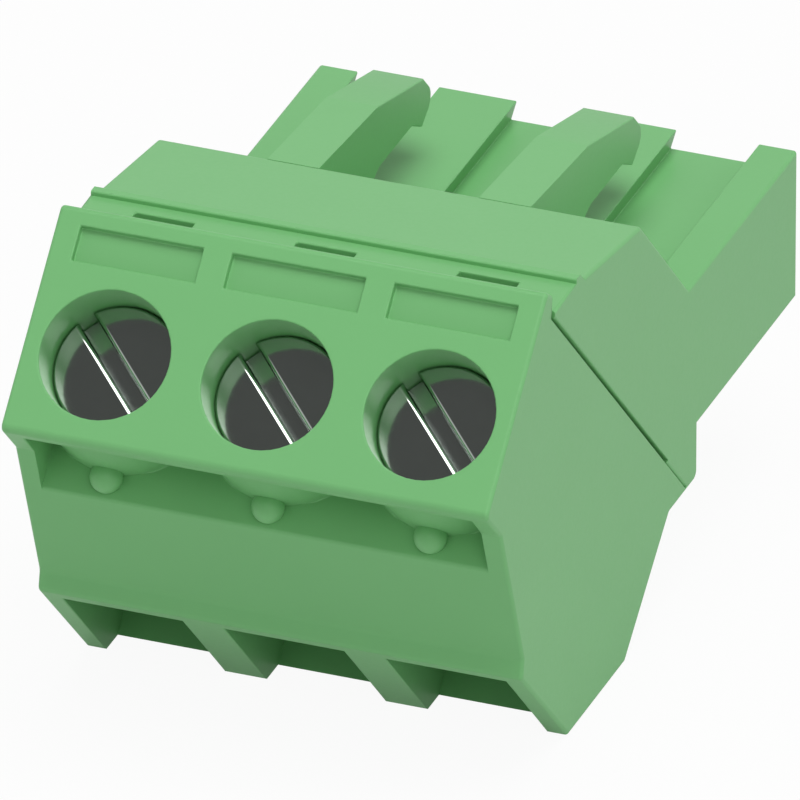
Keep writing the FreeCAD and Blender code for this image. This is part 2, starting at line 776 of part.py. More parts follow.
def build_sleeve(number):
    """A folded clamping sleeve: the screw's thread pulls it up and its floor grips the wire."""
    body = new_body("clamp_sleeve_%d" % (number + 1))
    top, window_top, window_floor, bottom = sleeve_levels()
    half = S["chamber_wide"] / 2 - S["sleeve_clearance"]
    inner = half - S["sleeve_wall"]
    sketch = new_sketch(body, "XZ_Plane")
    rectangle(sketch, (-half, -bottom), (half, -top))
    rectangle(sketch, (-inner, -window_floor), (inner, -window_top))
    pad(body, sketch, S["sleeve_long"], both_ways=True)
    round_lengthwise(body, half, (-top, -bottom), S["sleeve_bend"])
    thread = new_sketch(body, "XY_Plane", UPRIGHT, (0, 0, -top))
    circle(thread, (0, 0), S["shank_radius"] + S["fit_gap"])
    pocket(body, thread, S["sleeve_top"] + S["keeper_gap"])
    cut_grip_grooves(body, inner, window_floor)
    settle(body, LEANING, screw_place(number))
    return body


def round_lengthwise(body, x, levels, radius):
    """Rounds the edges that run along the body's own Y at the given x and levels."""
    base = body.Tip
    names = []
    for index, edge in enumerate(base.Shape.Edges, start=1):
        box = edge.BoundBox
        along_y = box.XLength < 1e-4 and box.ZLength < 1e-4
        at_level = any(abs(box.ZMin - level.value) < 1e-4 for level in levels)
        if along_y and at_level and abs(abs(box.XMin) - x.value) < 1e-4:
            names.append("Edge%d" % index)
    feature = body.newObject("PartDesign::Fillet", body.Label + "_fillet")
    feature.Base = (base, names)
    tie(feature, "Radius", radius)
    return finish_feature(body, feature)


def cut_grip_grooves(body, inner, window_floor):
    """Three shallow V grooves across the sleeve's floor, which bite into the wire."""
    sketch = new_sketch(body, "YZ_Plane")
    floor = -window_floor
    for step in (-1, 0, 1):
        y = S["groove_pitch"] * step
        outline(sketch, [
            (y - S["groove_deep"], floor),
            (y, floor - S["groove_deep"]),
            (y + S["groove_deep"], floor),
        ])
    pocket(body, sketch, inner * 2, both_ways=True)


def bar_line():
    """Outline of the current bar: leaning through the sleeve, then level into the nose."""
    upper, under = S["bar_deep"], S["bar_deep"] + S["bar_thick"]
    level_top = -S["tail_drop"]
    level_low = level_top - S["bar_thick"]
    return {
        "front_top": lean(S["bar_front_down"], upper),
        "bend_top": (upper / COSINE + level_top, level_top),
        "end_top": (S["tail_end_y"], level_top),
        "end_low": (S["tail_end_y"], level_low),
        "bend_low": (under / COSINE + level_low, level_low),
        "front_low": lean(S["bar_front_down"], under),
    }


def build_contact_bar(number):
    """The current bar: the wire is pressed against it, and it carries the contact spring."""
    body = new_body("contact_bar_%d" % (number + 1))
    corners = bar_line()
    sketch = side_sketch(body)
    outline(sketch, list(corners.values()))
    pad(body, sketch, S["bar_wide"], both_ways=True)
    round_off(body, [corners["bend_low"]], S["bar_bend"])
    round_off(body, [corners["bend_top"]], S["bar_bend"] + S["bar_thick"])
    settle(body, UPRIGHT, (position_x(number), ORIGIN_SHIFT_Y, S["body_height"]))
    return body


def build_contact_spring(number):
    """A folded spring below the bar's tail, whose two leaves grip a header pin."""
    body = new_body("contact_spring_%d" % (number + 1))
    seat = -(S["tail_drop"] + S["bar_thick"])
    half = S["bar_wide"] / 2
    thick = S["spring_thick"]
    plate = new_sketch(body, "XY_Plane", UPRIGHT, (0, 0, seat))
    rectangle(plate, (-half, S["spring_front_y"]), (half, S["tail_end_y"]))
    pad(body, plate, thick, backwards=True)
    leaf = new_sketch(body, "XY_Plane", UPRIGHT, (0, 0, seat))
    outer = [
        (half, S["spring_leaf_y"]),
        (half, S["spring_root_y"]),
        (S["spring_pinch"] + thick, S["spring_pinch_y"]),
        (S["spring_flare"] + thick, S["spring_tip_y"]),
    ]
    outline(leaf, outer + [(x - thick, y) for x, y in reversed(outer)])
    side = pad(body, leaf, S["spring_leaf"], backwards=True)
    mirrored(body, [side])
    settle(body, UPRIGHT, (position_x(number), ORIGIN_SHIFT_Y, S["body_height"]))
    return body


def check_document(bodies):
    """Stops before anything is written if a feature or a finished shape isn't sound."""
    doc.recompute()
    for item in doc.Objects:
        if "Invalid" in item.State or "Error" in item.State:
            raise ValueError(item.Label + " could not be worked out")
    for body in bodies:
        if body.Shape.isNull() or not body.Shape.isValid() or len(body.Shape.Solids) != 1:
            raise ValueError(body.Label + " isn't one sound solid")


def main():
    bodies = [build_terminal_housing(), build_plug_housing()]
    for number in range(POSITIONS):
        bodies.append(build_screw(number))
        bodies.append(build_sleeve(number))
        bodies.append(build_contact_bar(number))
        bodies.append(build_contact_spring(number))
    check_document(bodies)
    os.makedirs("parts", exist_ok=True)
    for body in bodies:
        body.Shape.exportStep("parts/" + body.Label + ".step")
        box = body.Shape.BoundBox
        print("%-18s %9.3f mm3  Y %7.3f %7.3f  Z %7.3f %7.3f" % (
            body.Label, body.Shape.Volume, box.YMin, box.YMax, box.ZMin, box.ZMax
        ))


main()
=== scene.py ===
"""Finish and studio set-up for a pluggable terminal block with leaning screw clamps."""

import math

import bmesh
import bpy
from bpy.props import FloatProperty, FloatVectorProperty, PointerProperty
from mathutils import Matrix, Vector
from mathutils.bvhtree import BVHTree


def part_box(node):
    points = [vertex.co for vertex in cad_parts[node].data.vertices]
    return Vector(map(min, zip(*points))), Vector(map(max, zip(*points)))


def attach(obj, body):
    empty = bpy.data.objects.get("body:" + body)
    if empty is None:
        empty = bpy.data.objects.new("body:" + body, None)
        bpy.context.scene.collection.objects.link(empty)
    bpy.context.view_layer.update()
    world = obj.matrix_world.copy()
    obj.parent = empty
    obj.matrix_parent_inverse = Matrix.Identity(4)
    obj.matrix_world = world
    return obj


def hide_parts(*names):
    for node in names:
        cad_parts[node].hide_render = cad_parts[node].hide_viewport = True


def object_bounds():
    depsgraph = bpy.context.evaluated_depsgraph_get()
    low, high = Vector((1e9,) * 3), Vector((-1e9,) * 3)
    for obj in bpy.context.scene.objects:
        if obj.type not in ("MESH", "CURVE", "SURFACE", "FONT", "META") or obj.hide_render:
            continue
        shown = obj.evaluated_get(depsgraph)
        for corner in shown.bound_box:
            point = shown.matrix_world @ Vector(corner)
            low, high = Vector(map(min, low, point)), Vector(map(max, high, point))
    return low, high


bl_info = {
    "name": "Pluggable Terminal Block",
    "version": (1, 0, 0),
    "blender": (4, 5, 0),
    "location": "View3D > Sidebar > Terminal Block",
    "description": "Moulded, plated and sprung finishes for a pluggable terminal block",
    "category": "Object",
}

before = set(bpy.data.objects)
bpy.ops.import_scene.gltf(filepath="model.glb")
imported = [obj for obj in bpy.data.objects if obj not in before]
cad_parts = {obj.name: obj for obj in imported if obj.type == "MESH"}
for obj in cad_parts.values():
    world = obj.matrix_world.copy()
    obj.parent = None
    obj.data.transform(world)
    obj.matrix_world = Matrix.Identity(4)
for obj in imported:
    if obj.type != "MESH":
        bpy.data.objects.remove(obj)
CAD_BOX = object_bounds()

MM = 0.001
WHITE = (1.0, 1.0, 1.0, 1.0)
POSITIONS = (1, 2, 3)
HOUSINGS = ("terminal_housing", "plug_housing")

# The screw face leans back by 45 degrees, so a step along it has equal parts down and forward.
LEAN = math.radians(45.0)
SLANT = math.sqrt(0.5)

# How far the screw face's top edge lies behind the front and above the bottom of the CAD's box.
FACE_TOP_BACK = 4.8884 * MM
FACE_TOP_UP = 15.78 * MM

# Joining a carried-over mesh: corners nearer than WELD are one, and flat faces are merged.
WELD = 0.0005 * MM
FLAT = math.radians(0.5)

# Edge rounding: edges are rounded that turn by more than SHARP_ANGLE and aren't too short, in
# EDGE_STEPS flats. On the sides they are long ones, at faces whose normal's X is over ABEAM.
SHARP_ANGLE = math.radians(40.0)
SHORTEST_EDGE = 0.06 * MM
LONG_EDGE = 1.0 * MM
ABEAM = 0.99
EDGE_STEPS = 3

# A point this near to a plane counts as lying on it.
NEAR = 0.02 * MM

# Edge rounding's own check: how far a corner may move, as a share of the width, how far a face
# may turn against the old surface, and how the places that stay sharp grow from try to try.
MOST_SHIFT = 0.75
LEAST_AGREEMENT = -0.1
SMALLEST_AREA = 1e-12
TRIES = 8
FIRST_REACH = 0.35 * MM
REACH_GROWTH = 1.4

# Shading is smooth between faces that meet at less than this.
HOUSING_SMOOTH = math.radians(34.0)
SCREW_SMOOTH = math.radians(32.0)

# Screws: how finely their round parts are divided, how long the tools for the slot are beside
# the head's radius, how small the point's end and the thread's outline are beside the core and
# the thread's height, and how far the shank and its thread run into the head.
HEAD_SIDES = 128
SHANK_SIDES = 64
THREAD_STEPS = 48
RIDGE_SIDES = 3
SLOT_LONG = 2.2
ROD_LONG = 3.0
POINT_SHARE = 0.72
RIDGE_SHARE = 0.82
BURIED = 0.1 * MM

# The screw tree's inputs that come from the screw's sizes.
SCREW_INPUTS = {
    "head_radius": "Head radius", "head_top": "Head top", "head_tall": "Head height",
    "head_chamfer": "Head chamfer", "slot_wide": "Slot width", "slot_deep": "Slot depth",
    "slot_round": "Slot rounding", "slot_turn": "Slot turn", "core_radius": "Core radius",
    "crest_radius": "Crest radius", "thread_pitch": "Thread pitch", "shank_end": "Shank end",
    "shank_point": "Shank point",
}

# Camera: sensor width in millimetres, and the nearest and farthest thing seen.
SENSOR = 36.0
CLIP = (0.05, 6.0)

# Y part of a direction at which the room is dimmed like its front, and from which it isn't.
DIMMED = (-0.9, 0.2)


def colour_property(name, description, default):
    return FloatVectorProperty(
        name=name, description=description, subtype="COLOR", size=3, min=0.0, max=1.0,
        default=default,
    )


def share_property(name, description, default):
    return FloatProperty(
        name=name, description=description, subtype="FACTOR", min=0.0, max=1.0, default=default
    )


def factor_property(name, description, default):
    return FloatProperty(name=name, description=description, unit="NONE", default=default)


def length_property(name, description, default):
    return FloatProperty(
        name=name, description=description, subtype="DISTANCE", unit="LENGTH", default=default,
        precision=5,
    )


def angle_property(name, description, degrees):
    return FloatProperty(
        name=name, description=description, subtype="ANGLE", unit="ROTATION",
        default=math.radians(degrees),
    )


def power_property(name, description, default):
    return FloatProperty(name=name, description=description, unit="POWER", default=default)


def place_property(name, description, default):
    return FloatVectorProperty(
        name=name, description=description, subtype="TRANSLATION", unit="LENGTH", size=3,
        default=default,
    )


class MouldedFinish(bpy.types.PropertyGroup):
    """Looks of the moulded housings."""

    colour: colour_property("Colour", "Colour of the moulding", (0.170, 0.462, 0.173))
    tint: factor_property("Tint", "Brightness that the mottling drifts towards", 1.035)
    roughness: share_property("Roughness", "How matt the skin is", 0.40)
    roughness_spread: share_property("Roughness spread", "How far the roughness varies", 0.08)
    refraction: factor_property("Refraction", "Refractive index of the plastic", 1.46)
    gloss: share_property("Gloss", "Strength of the skin's reflections", 0.38)
    grain: length_property("Grain", "Size of the fine grain in the skin", 0.16 * MM)
    relief: length_property("Relief", "Height of the fine grain", 0.0016 * MM)
    mottle: length_property("Mottle", "Size of the soft colour patches", 2.4 * MM)
    edge: length_property("Edge", "Radius of the moulding's finest edges", 0.05 * MM)
    side_edge: length_property(
        "Side edge", "Radius of the edges along the housing's two sides", 0.10 * MM
    )
    # Label floors: their matt skin is real, and their darker colour is painted shade.
    label_shade_colour: colour_property(
        "Label", "Colour of the marking areas' floors", (0.156, 0.428, 0.159)
    )
    label_roughness: share_property("Label roughness", "How matt the marking areas are", 0.55)
    label_top: length_property(
        "Label top", "Top of a marking area, down the screw face", 0.54 * MM
    )
    label_low: length_property(
        "Label bottom", "Bottom of a marking area, down the screw face", 1.62 * MM
    )
    label_deep: length_property("Label depth", "Depth of a marking area", 0.22 * MM)
    ledge_drop: length_property("Ledge", "Ledge below the screw face's top edge", 0.93 * MM)
    slot_y: length_property(
        "Slot place", "Middle of the ledge slots behind the top edge", 1.775 * MM
    )
    slot_wide: length_property("Slot width", "Widest that a ledge slot may be", 0.4 * MM)
    slot_deepest: length_property("Deepest slot", "Deepest that a ledge slot may be cut", 1.0 * MM)
    slot_shallowest: length_property(
        "Shallowest slot", "Shallowest that a ledge slot may be cut", 0.5 * MM
    )
    slot_deep: length_property("Slot depth", "Depth of the ledge slots as seen", 0.42 * MM)


class ScrewShape(bpy.types.PropertyGroup):
    """Sizes of a slotted clamping screw; heights are measured in from the screw face."""

    head_radius: length_property("Head radius", "Outside of the head", 1.95 * MM)
    head_top: length_property("Head top", "Top of the head behind the screw face", 1.42 * MM)
    head_tall: length_property("Head height", "Height of the head", 1.50 * MM)
    head_chamfer: length_property("Head chamfer", "Broken edge of the head", 0.07 * MM)
    slot_wide: length_property("Slot width", "Width of the slot at its floor", 0.50 * MM)
    slot_deep: length_property("Slot depth", "Depth of the slot", 0.82 * MM)
    slot_round: length_property(
        "Slot rounding", "Radius of the slot's worn upper edges", 0.17 * MM
    )
    slot_turn: angle_property("Slot turn", "Turn of the slot about the screw's axis", 45.0)
    core_radius: length_property("Core radius", "Shank at the foot of the thread", 1.20 * MM)
    crest_radius: length_property("Crest radius", "Shank over the thread", 1.47 * MM)
    thread_pitch: length_property(
        "Thread pitch", "From one turn of the thread to the next", 0.50 * MM
    )
    shank_end: length_property(
        "Shank end", "End of the shank behind the screw face", 8.34 * MM
    )
    shank_point: length_property("Shank point", "Length of the blunt point", 0.45 * MM)


class PlatedFinish(bpy.types.PropertyGroup):
    """Looks of the plated metal pieces."""

    # Plated steel with a green tint in it: a painted reflection of the green moulding round the
    # heads.
    screw_colour: colour_property("Screws", "Bright plated steel", (0.520, 0.570, 0.530))
    sleeve_colour: colour_property("Sleeves", "Plated steel strip", (0.600, 0.600, 0.580))
    bar_colour: colour_property("Bars", "Tinned copper alloy", (0.700, 0.690, 0.650))
    spring_colour: colour_property(
        "Springs", "Tinned copper alloy sheet", (0.720, 0.710, 0.670)
    )
    dullness: share_property("Dullness", "Brightness of the dull patches", 0.93)
    patches: length_property("Patches", "Size of the dull patches", 1.2 * MM)
    screw_roughness: share_property("Screw roughness", "How mirror-like the screws are", 0.11)
    strip_roughness: share_property("Strip roughness", "How matt the pressed strip is", 0.28)
    unevenness: share_property(
        "Unevenness", "How far the roughness varies, as a share of it", 0.5
    )
    turning: length_property("Turning", "Spacing of the marks on the screws", 0.2 * MM)
    brushing: length_property(
        "Brushing", "Spacing of the rolling marks on the strip", 0.05 * MM
    )
    stretch: factor_property("Stretch", "Length of the rolling marks to their spacing", 30.0)
    mark_depth: length_property("Mark depth", "Depth of the marks", 0.0004 * MM)


class StudioSetup(bpy.types.PropertyGroup):
    """Camera, floor and light."""

    azimuth: angle_property("Azimuth", "Camera's turn to the right of the screw side", 20.8)
    elevation: angle_property("Elevation", "Camera's height above the horizon", 28.698)
    roll: angle_property("Roll", "Camera's roll", 0.1)
    distance: length_property("Distance", "Camera to the top edge of the screw face", 1.0)
    aim_right: length_property(
        "Aim right", "Camera axis beside the top edge's middle", 2.813 * MM
    )
    aim_up: length_property("Aim up", "Camera axis above the top edge's middle", -4.439 * MM)
    view_width: length_property(
        "View width", "Width of the picture at the object", 23.377 * MM
    )
    floor_colour: colour_property("Floor", "Plain pale floor", (0.60, 0.60, 0.60))
    floor_tint: factor_property("Floor tint", "Brightness that the clouds drift towards", 1.02)
    floor_clouds: length_property("Floor clouds", "Size of the floor's soft patches", 0.02)
    floor_roughness: share_property("Floor roughness", "How matt the floor is", 0.9)
    floor_gloss: share_property("Floor gloss", "Strength of the floor's reflections", 0.1)
    floor_glow: share_property("Floor glow", "Light that the floor gives off on its own", 0.15)
    floor_white: share_property(
        "Floor white", "How far the camera sees the floor as plain white", 0.93
    )
    floor_mirrored: share_property(
        "Floor mirrored", "How much of that white is left in reflections", 0.15
    )
    floor_half: length_property("Floor size", "Middle of the floor to its edge", 1.5)
    floor_gap: length_property("Floor gap", "Floor below the object", 0.02 * MM)
    sky_low: share_property("Horizon", "Brightness of the room at the horizon", 0.40)
    sky_walls: factor_property("Walls", "Brightness of the room a little above", 1.10)
    sky_high: share_property("Room above", "Brightness of the room high above", 0.14)
    walls_at: share_property("Walls at", "Height of the brightest part of the walls", 0.35)
    high_at: share_property("Above at", "Height from which the room is dark", 0.72)
    sky_front: share_property(
        "Front", "How much of that is left in front of the screw face", 0.62
    )
    overhead: power_property("Overhead", "Power of the lamp above", 1.84)
    overhead_size: length_property("Overhead size", "Width of the lamp above", 0.40)
    overhead_place: place_property("Overhead place", "Place of the lamp above", (0.05, -0.05, 0.50))
    front: power_property("Front lamp", "Power of the lamp in front", 0.34)
    front_size: length_property("Front lamp size", "Width of the lamp in front", 0.20)
    front_place: place_property("Front place", "Place of the lamp in front", (0.19, -0.33, 0.32))
    side: power_property("Side", "Power of the lamp at the right", 0.02)
    side_size: length_property("Side size", "Width of the lamp at the right", 0.22)
    side_place: place_property("Side place", "Place of the lamp at the right", (0.46, -0.03, 0.20))


def node(tree, kind, **values):
    """Adds a node; a key sets the input of that name, or else the node's own value."""
    made = tree.nodes.new(kind)
    for key, value in values.items():
        if key in made.inputs:
            made.inputs[key].default_value = value
        else:
            setattr(made, key, value)
    return made


def link(tree, start, end):
    """Joins an output to an input."""
    tree.links.new(start, end)


def blank_material(name):
    """A new material with only a surface shader, its node tree, the shader and the output."""
    material = bpy.data.materials.new(name)
    material.use_nodes = True
    tree = material.node_tree
    tree.nodes.clear()
    shader = tree.nodes.new("ShaderNodeBsdfPrincipled")
    output = tree.nodes.new("ShaderNodeOutputMaterial")
    link(tree, shader.outputs["BSDF"], output.inputs["Surface"])
    return material, tree, shader, output


def noise(tree, place, size, detail):
    """A noise texture whose lumps are about the given size in metres."""
    made = node(tree, "ShaderNodeTexNoise", Scale=1.0 / size, Detail=detail)
    link(tree, place, made.inputs["Vector"])
    return made.outputs["Fac"]


def spread(tree, factor, middle, width):
    """Turns a 0 to 1 pattern into values round the middle."""
    made = node(tree, "ShaderNodeMapRange")
    made.inputs["To Min"].default_value = middle - width / 2
    made.inputs["To Max"].default_value = middle + width / 2
    link(tree, factor, made.inputs["Value"])
    return made.outputs["Result"]


def blended(tree, factor, first, second):
    """A colour between two, by a pattern."""
    made = node(tree, "ShaderNodeMix", data_type="RGBA")
    inputs = {socket.identifier: socket for socket in made.inputs}
    outputs = {socket.identifier: socket for socket in made.outputs}
    inputs["A_Color"].default_value = (*first, 1.0)
    inputs["B_Color"].default_value = (*second, 1.0)
    link(tree, factor, inputs["Factor_Float"])
    return outputs["Result_Color"]


def product(tree, first, second):
    """Multiplies an output by a number or by another output."""
    made = node(tree, "ShaderNodeMath", operation="MULTIPLY")
    link(tree, first, made.inputs[0])
    if isinstance(second, bpy.types.NodeSocket):
        link(tree, second, made.inputs[1])
    else:
        made.inputs[1].default_value = second
    return made.outputs[0]


def mixed(tree, factor, first, second):
    """A shader between two, by a factor."""
    made = node(tree, "ShaderNodeMixShader")
    link(tree, factor, made.inputs[0])
    link(tree, first.outputs[0], made.inputs[1])
    link(tree, second.outputs[0], made.inputs[2])
    return made.outputs[0]


def bump(tree, shader, height, depth):
    """Makes a pattern stand out of the surface by the given depth."""
    made = node(tree, "ShaderNodeBump", Distance=depth, Strength=1.0)
    link(tree, height, made.inputs["Height"])
    link(tree, made.outputs["Normal"], shader.inputs["Normal"])


def moulded_material(name, finish, colour, roughness):
    """Satin moulded plastic: faint colour patches, an uneven skin and a fine grain."""
    material, tree, shader, _ = blank_material(name)
    tint = tuple(channel * finish.tint for channel in colour)
    place = node(tree, "ShaderNodeTexCoord").outputs["Object"]
    patches = noise(tree, place, finish.mottle, detail=3.0)
    grain = noise(tree, place, finish.grain, detail=2.0)
    link(tree, blended(tree, patches, colour, tint), shader.inputs["Base Color"])
    uneven = spread(tree, grain, roughness, finish.roughness_spread)
    link(tree, uneven, shader.inputs["Roughness"])
    bump(tree, shader, grain, finish.relief)
    shader.inputs["IOR"].default_value = finish.refraction
    shader.inputs["Specular IOR Level"].default_value = finish.gloss
    return material


def metal_material(name, finish, colour, roughness, mark_size, stretch=1.0):
    """Plated metal with dull patches and fine marks, which a stretch draws out along X."""
    material, tree, shader, _ = blank_material(name)
    place = node(tree, "ShaderNodeTexCoord").outputs["Object"]
    drawn = node(tree, "ShaderNodeMapping")
    drawn.inputs["Scale"].default_value = (1.0 / stretch, 1.0, 1.0)
    link(tree, place, drawn.inputs["Vector"])
    marks = noise(tree, drawn.outputs["Vector"], mark_size, detail=3.0)
    patches = noise(tree, place, finish.patches, detail=2.0)
    dull = tuple(channel * finish.dullness for channel in colour)
    link(tree, blended(tree, patches, colour, dull), shader.inputs["Base Color"])
    uneven = spread(tree, marks, roughness, roughness * finish.unevenness)
    link(tree, uneven, shader.inputs["Roughness"])
    bump(tree, shader, marks, finish.mark_depth)
    shader.inputs["Metallic"].default_value = 1.0
    return material


def strip_material(name, finish, colour):
    """Pressed strip with rolling marks."""
    return metal_material(
        name, finish, colour, finish.strip_roughness, finish.brushing, finish.stretch
    )


def dress(name, material):
    """Gives a carried-over piece its finish."""
    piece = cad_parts[name]
    piece.data.materials.clear()
    piece.data.materials.append(material)


def shown(name, data):
    """Puts a mesh, a camera or a lamp into the scene as an object of the given name."""
    thing = bpy.data.objects.new(name, data)
    bpy.context.scene.collection.objects.link(thing)
    return thing


def face_top():
    """The middle of the screw face's top edge, before its corner is rounded."""
    low = CAD_BOX[0]
    return Vector((0.0, low.y + FACE_TOP_BACK, low.z + FACE_TOP_UP))


def behind_face(point):
    """How far down the screw face and how deep behind it a point lies."""
    away = point - face_top()
    return -(away.y + away.z) * SLANT, (away.y - away.z) * SLANT


def opened(mesh):
    """A working mesh of a mesh, with corners at one place made one."""
    work = bmesh.new()
    work.from_mesh(mesh)
    bmesh.ops.remove_doubles(work, verts=work.verts, dist=WELD)
    return work


def welded(node_name):
    """A carried-over piece as a working mesh, its loose triangles joined into whole faces."""
    work = opened(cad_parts[node_name].data)
    bmesh.ops.dissolve_limit(
        work, angle_limit=FLAT, verts=work.verts, edges=work.edges, use_dissolve_boundaries=False
    )
    return work


def mark_labels(work, finish):
    """Gives the floors of the label recesses the second material: matt, and a little darker as
    painted shade.
    """
    for face in work.faces:
        down, deep = behind_face(face.calc_center_median())
        in_label = finish.label_top < down < finish.label_low
        if in_label and abs(deep - finish.label_deep) < NEAR:
            face.material_index = 1


def lift_slot_floors(work, finish):
    """Makes the slots in the ledge as shallow as they look."""
    ledge = face_top().z - finish.ledge_drop
    middle = face_top().y + finish.slot_y
    for vert in work.verts:
        depth = ledge - vert.co.z
        in_slot = abs(vert.co.y - middle) < finish.slot_wide / 2
        if in_slot and finish.slot_shallowest < depth < finish.slot_deepest:
            vert.co.z = ledge - finish.slot_deep


def sharp(edge):
    """Whether an edge is one that a moulding tool leaves with the finest radius."""
    return edge.calc_face_angle(0.0) > SHARP_ANGLE and edge.calc_length() > SHORTEST_EDGE


def on_side(edge):
    """Whether an edge is a long outer one that bounds the housing's left or right side."""
    if not sharp(edge) or edge.calc_length() < LONG_EDGE:
        return False
    upright = [abs(face.normal.x) > ABEAM for face in edge.link_faces]
    outer = all(abs(vert.co.x) > CAD_BOX[1].x - NEAR for vert in edge.verts)
    return outer and edge.is_convex and any(upright) and not all(upright)


def misshapen(work, whole, width):
    """Where a rounded mesh strays from the whole one by more than its rounding, or folds over."""
    places = []
    for vert in work.verts:
        *_, shift = whole.find_nearest(vert.co)
        if shift > width * MOST_SHIFT:
            places.append(vert.co.copy())
    for face in work.faces:
        middle = face.calc_center_median()
        _, normal, *_ = whole.find_nearest(middle)
        if face.calc_area() > SMALLEST_AREA and normal.dot(face.normal) < LEAST_AGREEMENT:
            places.append(middle)
    return places


def edged(work, width, wanted=sharp):
    """Rounds the wanted edges by a hair, as a moulding tool leaves them, where there is room.

    Edges near a place where the rounding went wrong stay sharp in the next try.
    """
    whole = BVHTree.FromBMesh(work)
    known = misshapen(work, whole, width)
    reach = FIRST_REACH
    kept = set()
    for _ in range(TRIES):
        trial = work.copy()
        trial.edges.ensure_lookup_table()
        edges = [
            edge for number, edge in enumerate(trial.edges)
            if number not in kept and edge.is_manifold and wanted(edge)
        ]
        bmesh.ops.bevel(
            trial, geom=edges, offset=width, offset_type="OFFSET", segments=EDGE_STEPS,
            profile=0.5, affect="EDGES", clamp_overlap=False, miter_outer="SHARP",
            miter_inner="SHARP", loop_slide=True,
        )
        faults = [
            fault for fault in misshapen(trial, whole, width)
            if all((fault - place).length > reach for place in known)
        ]
        if not faults:
            return trial
        trial.free()
        work.edges.ensure_lookup_table()
        for number, edge in enumerate(work.edges):
            ends = [vert.co for vert in edge.verts]
            if any((end - fault).length < reach for end in ends for fault in faults):
                kept.add(number)
        reach *= REACH_GROWTH
    raise RuntimeError("the housing's edges couldn't be rounded")


def placed(name, work, materials):
    """Makes a working mesh into a piece with the given materials, inside the CAD's box."""
    low, high = CAD_BOX
    for vert in work.verts:
        vert.co = [min(max(value, least), most) for value, least, most in zip(vert.co, low, high)]
    mesh = bpy.data.meshes.new(name)
    work.to_mesh(mesh)
    work.free()
    for material in materials:
        mesh.materials.append(material)
    return shown(name, mesh)


def smoothed(piece, angle):
    """Welds a piece and shades it smooth up to the given angle, with its flat faces left flat."""
    mesh = piece.data
    work = opened(mesh)
    work.to_mesh(mesh)
    work.free()
    around = [[] for _ in mesh.vertices]
    for face in mesh.polygons:
        face.use_smooth = True
        for vert in face.vertices:
            around[vert].append(face)
    level = math.cos(angle)
    normals = []
    for face in mesh.polygons:
        for vert in face.vertices:
            near = [other for other in around[vert] if other.normal.dot(face.normal) > level]
            total = sum((other.normal * other.area for other in near), Vector())
            normals.append(total.normalized() if total.length > 0.0 else face.normal)
    mesh.normals_split_custom_set(normals)


class PLUGBLOCK_OT_housings(bpy.types.Operator):
    """Finish the two moulded housings"""

    bl_idname = "plugblock.housings"
    bl_label = "Housings"

    def execute(self, context):
        finish = context.scene.plugblock_moulded
        materials = [
            moulded_material("moulded_green", finish, finish.colour, finish.roughness),
            # The label floors' material: matt, and made darker by painted shade.
            moulded_material(
                "moulded_label_shaded", finish, finish.label_shade_colour, finish.label_roughness
            ),
        ]
        for name, detail in zip(HOUSINGS, (mark_labels, lift_slot_floors)):
            work = welded(name)
            detail(work, finish)
            work = edged(work, finish.side_edge, on_side)
            piece = placed(name + "_moulding", edged(work, finish.edge), materials)
            smoothed(piece, HOUSING_SMOOTH)
            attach(piece, "plug_body")
            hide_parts(name)
        return {"FINISHED"}


